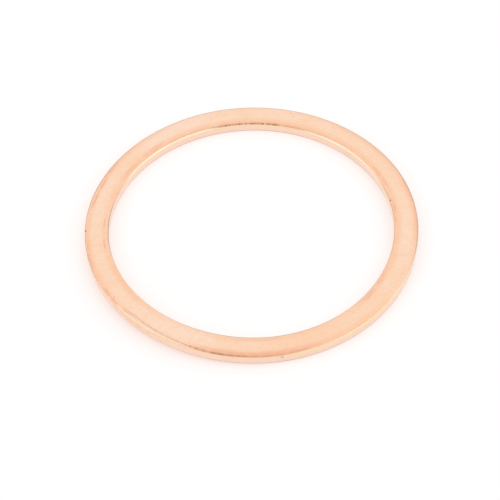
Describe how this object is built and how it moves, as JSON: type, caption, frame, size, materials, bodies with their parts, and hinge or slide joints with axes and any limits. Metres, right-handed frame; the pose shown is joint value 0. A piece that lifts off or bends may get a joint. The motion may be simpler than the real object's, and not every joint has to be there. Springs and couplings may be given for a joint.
{
  "type": "copper crush washer",
  "caption": "Flat copper sealing ring stamped from sheet, with rolled upper edges and a plain bore, crushed between two flat faces to seal a threaded joint.",
  "frame": {"origin": "centre of the ring on its lower face, the plane it rests on", "axes": "+Z along the bore axis, out of the rolled upper face; X and Y lie across the ring"},
  "size_m": [0.042, 0.042, 0.0015],
  "materials": {
    "copper": "soft annealed, satin"
  },
  "bodies": {
    "root": {"washer": "copper"}
  },
  "joints": []
}
